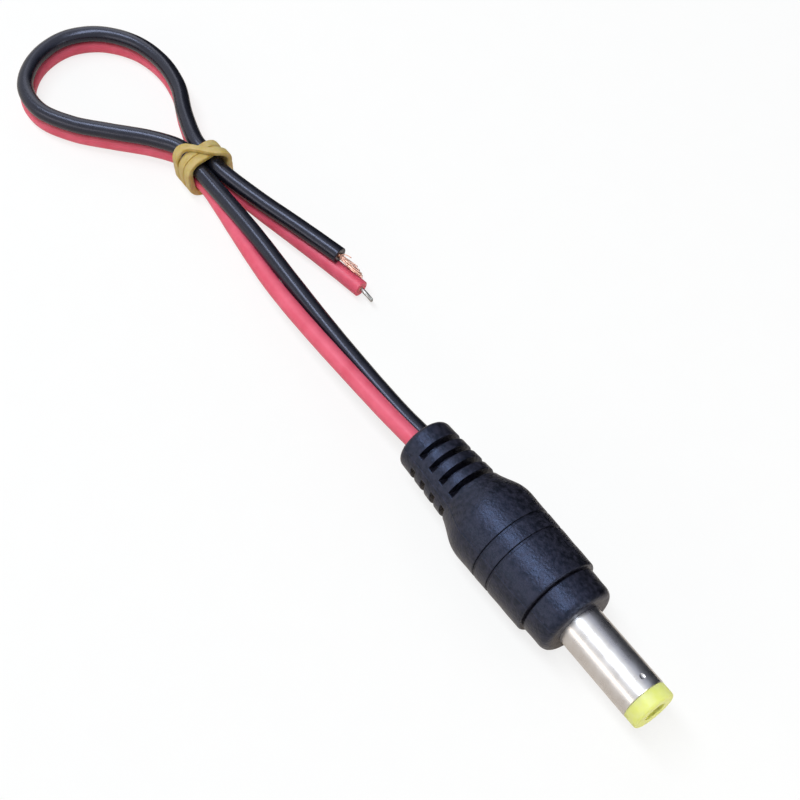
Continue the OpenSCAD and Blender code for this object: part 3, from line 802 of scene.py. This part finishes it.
# metres from the part at which the floor starts to turn to plain white, and at which it is white
FADE_FROM, FADE_TO = 0.2, 0.7
floor_paper, tree, shader = new_finish("floor_paper")
shader.inputs["Roughness"].default_value = 0.9
shader.inputs["Specular IOR Level"].default_value = 0.0
colour(tree, shader, clouds(tree, 4.0), (0.80, 0.765, 0.71), (0.82, 0.785, 0.73))
glow = tree.nodes.new("ShaderNodeEmission")
glow.inputs["Strength"].default_value = 1.1
rays = tree.nodes.new("ShaderNodeLightPath")
# in gloss the floor glows less and in a warm tan instead of white: a painted warm reflection on the metal
# and the moulding
painted_warm_reflection = tint(tree, rays.outputs["Is Glossy Ray"], (1.0, 1.0, 1.0), (1.0, 0.79, 0.59), 0.0, 1.0)
tree.links.new(painted_warm_reflection, glow.inputs["Color"])
glow_share = tree.nodes.new("ShaderNodeMath")
glow_share.operation = "MULTIPLY"
glow_share.inputs[1].default_value = FLOOR_GLOW
tree.links.new(seen_directly(tree, GLOW_IN_GLOSS), glow_share.inputs[0])
# the floor's edge doesn't show, because the camera sees it fade to white
spot = tree.nodes.new("ShaderNodeTexCoord")
distance = tree.nodes.new("ShaderNodeVectorMath")
distance.operation = "LENGTH"
tree.links.new(spot.outputs["Object"], distance.inputs[0])
fade = spread(tree, distance.outputs["Value"], 0.0, 1.0 - FLOOR_GLOW, FADE_FROM, FADE_TO)
faded = tree.nodes.new("ShaderNodeMath")
faded.operation = "MULTIPLY_ADD"
tree.links.new(rays.outputs["Is Camera Ray"], faded.inputs[0])
tree.links.new(fade, faded.inputs[1])
tree.links.new(glow_share.outputs["Value"], faded.inputs[2])
choose = tree.nodes.new("ShaderNodeMixShader")
tree.links.new(faded.outputs["Value"], choose.inputs["Fac"])
tree.links.new(shader.outputs["BSDF"], choose.inputs[1])
tree.links.new(glow.outputs["Emission"], choose.inputs[2])
tree.links.new(choose.outputs["Shader"], tree.nodes["Material Output"].inputs["Surface"])
floor = stage_sheet("floor", [
    (-FLOOR_REACH, -FLOOR_REACH, 0.0), (FLOOR_REACH, -FLOOR_REACH, 0.0),
    (FLOOR_REACH, FLOOR_REACH, 0.0), (-FLOOR_REACH, FLOOR_REACH, 0.0)], floor_paper)
floor.location.z = -FLOOR_SINK

# where each lamp stands and what it is turned to, its width and height in metres, its watts and colour
for name, stands, lit, wide, high, watts, lamp_colour in (
        ("overhead", (-0.16, -0.095, 0.52), (-0.16, 0.0, 0.0), 0.60, 0.13, 2.45, (0.80, 0.89, 1.0)),
        ("left", (-0.11, -0.43, 0.19), (-0.02, 0.0, 0.0), 0.36, 0.12, 0.32, (1.0, 0.90, 0.77)),
        ("behind", (-0.40, 0.20, 0.30), (-0.02, 0.0, 0.0), 0.25, 0.25, 0.25, (0.93, 0.96, 1.0)),
        ("front", (0.16, 0.05, 0.04), (0.02, 0.0, 0.0), 0.06, 0.06, 0.08, (1.0, 1.0, 0.94))):
    lamp_data = bpy.data.lights.new(name, "AREA")
    lamp_data.shape = "RECTANGLE"
    lamp_data.size = wide
    lamp_data.size_y = high
    lamp_data.energy = watts
    lamp_data.color = lamp_colour
    lamp = bpy.data.objects.new(name, lamp_data)
    lamp.location = stands
    ahead = (Vector(lit) - Vector(stands)).normalized()
    lamp.rotation_euler = (math.acos(-ahead.z), 0.0, math.atan2(-ahead.x, ahead.y))
    lamp.visible_camera = False
    bpy.context.scene.collection.objects.link(lamp)

# a glowing card leans back beside the part, out of the picture, near black at its foot and pale grey above;
# only gloss and bright metal see it, where it paints a dark reflection down the sides of the barrel and the
# moulding that face it
CARD_LEFT, CARD_RIGHT = -0.11, 0.08
CARD_FOOT, CARD_TOP = (0.014, 0.0), (0.060, 0.140)
# share of the card's height, and how bright it is there
CARD_SHADES = [
    (0.0, 0.02), (0.06, 0.06), (0.12, 0.18), (0.155, 0.22), (0.20, 0.55), (0.34, 0.75), (1.0, 0.95)]
glowing_reflection_card, tree, shader = new_finish("glowing_reflection_card")
shader.inputs["Base Color"].default_value = (0.0, 0.0, 0.0, 1.0)
shader.inputs["Specular IOR Level"].default_value = 0.0
shader.inputs["Emission Strength"].default_value = 1.0
spot = tree.nodes.new("ShaderNodeTexCoord")
height = tree.nodes.new("ShaderNodeSeparateXYZ")
tree.links.new(spot.outputs["Object"], height.inputs["Vector"])
shades = tree.nodes.new("ShaderNodeValToRGB")
for _ in CARD_SHADES[2:]:
    shades.color_ramp.elements.new(0.5)
for mark, (at, grey) in zip(shades.color_ramp.elements, CARD_SHADES):
    mark.position = at
    mark.color = (0.80 * grey, 0.85 * grey, grey, 1.0)
tree.links.new(spread(tree, height.outputs["Z"], 0.0, 1.0, CARD_FOOT[1], CARD_TOP[1]), shades.inputs["Fac"])
# the card glows in these greys though it is no lamp: a painted reflection
tree.links.new(shades.outputs["Color"], shader.inputs["Emission Color"])
card = stage_sheet("card", [
    (CARD_LEFT, *CARD_FOOT), (CARD_RIGHT, *CARD_FOOT),
    (CARD_RIGHT, *CARD_TOP), (CARD_LEFT, *CARD_TOP)], glowing_reflection_card)
card.visible_camera = False
card.visible_diffuse = False
card.visible_shadow = False
bpy.context.scene.view_settings.view_transform = "Standard"

bpy.context.view_layer.update()
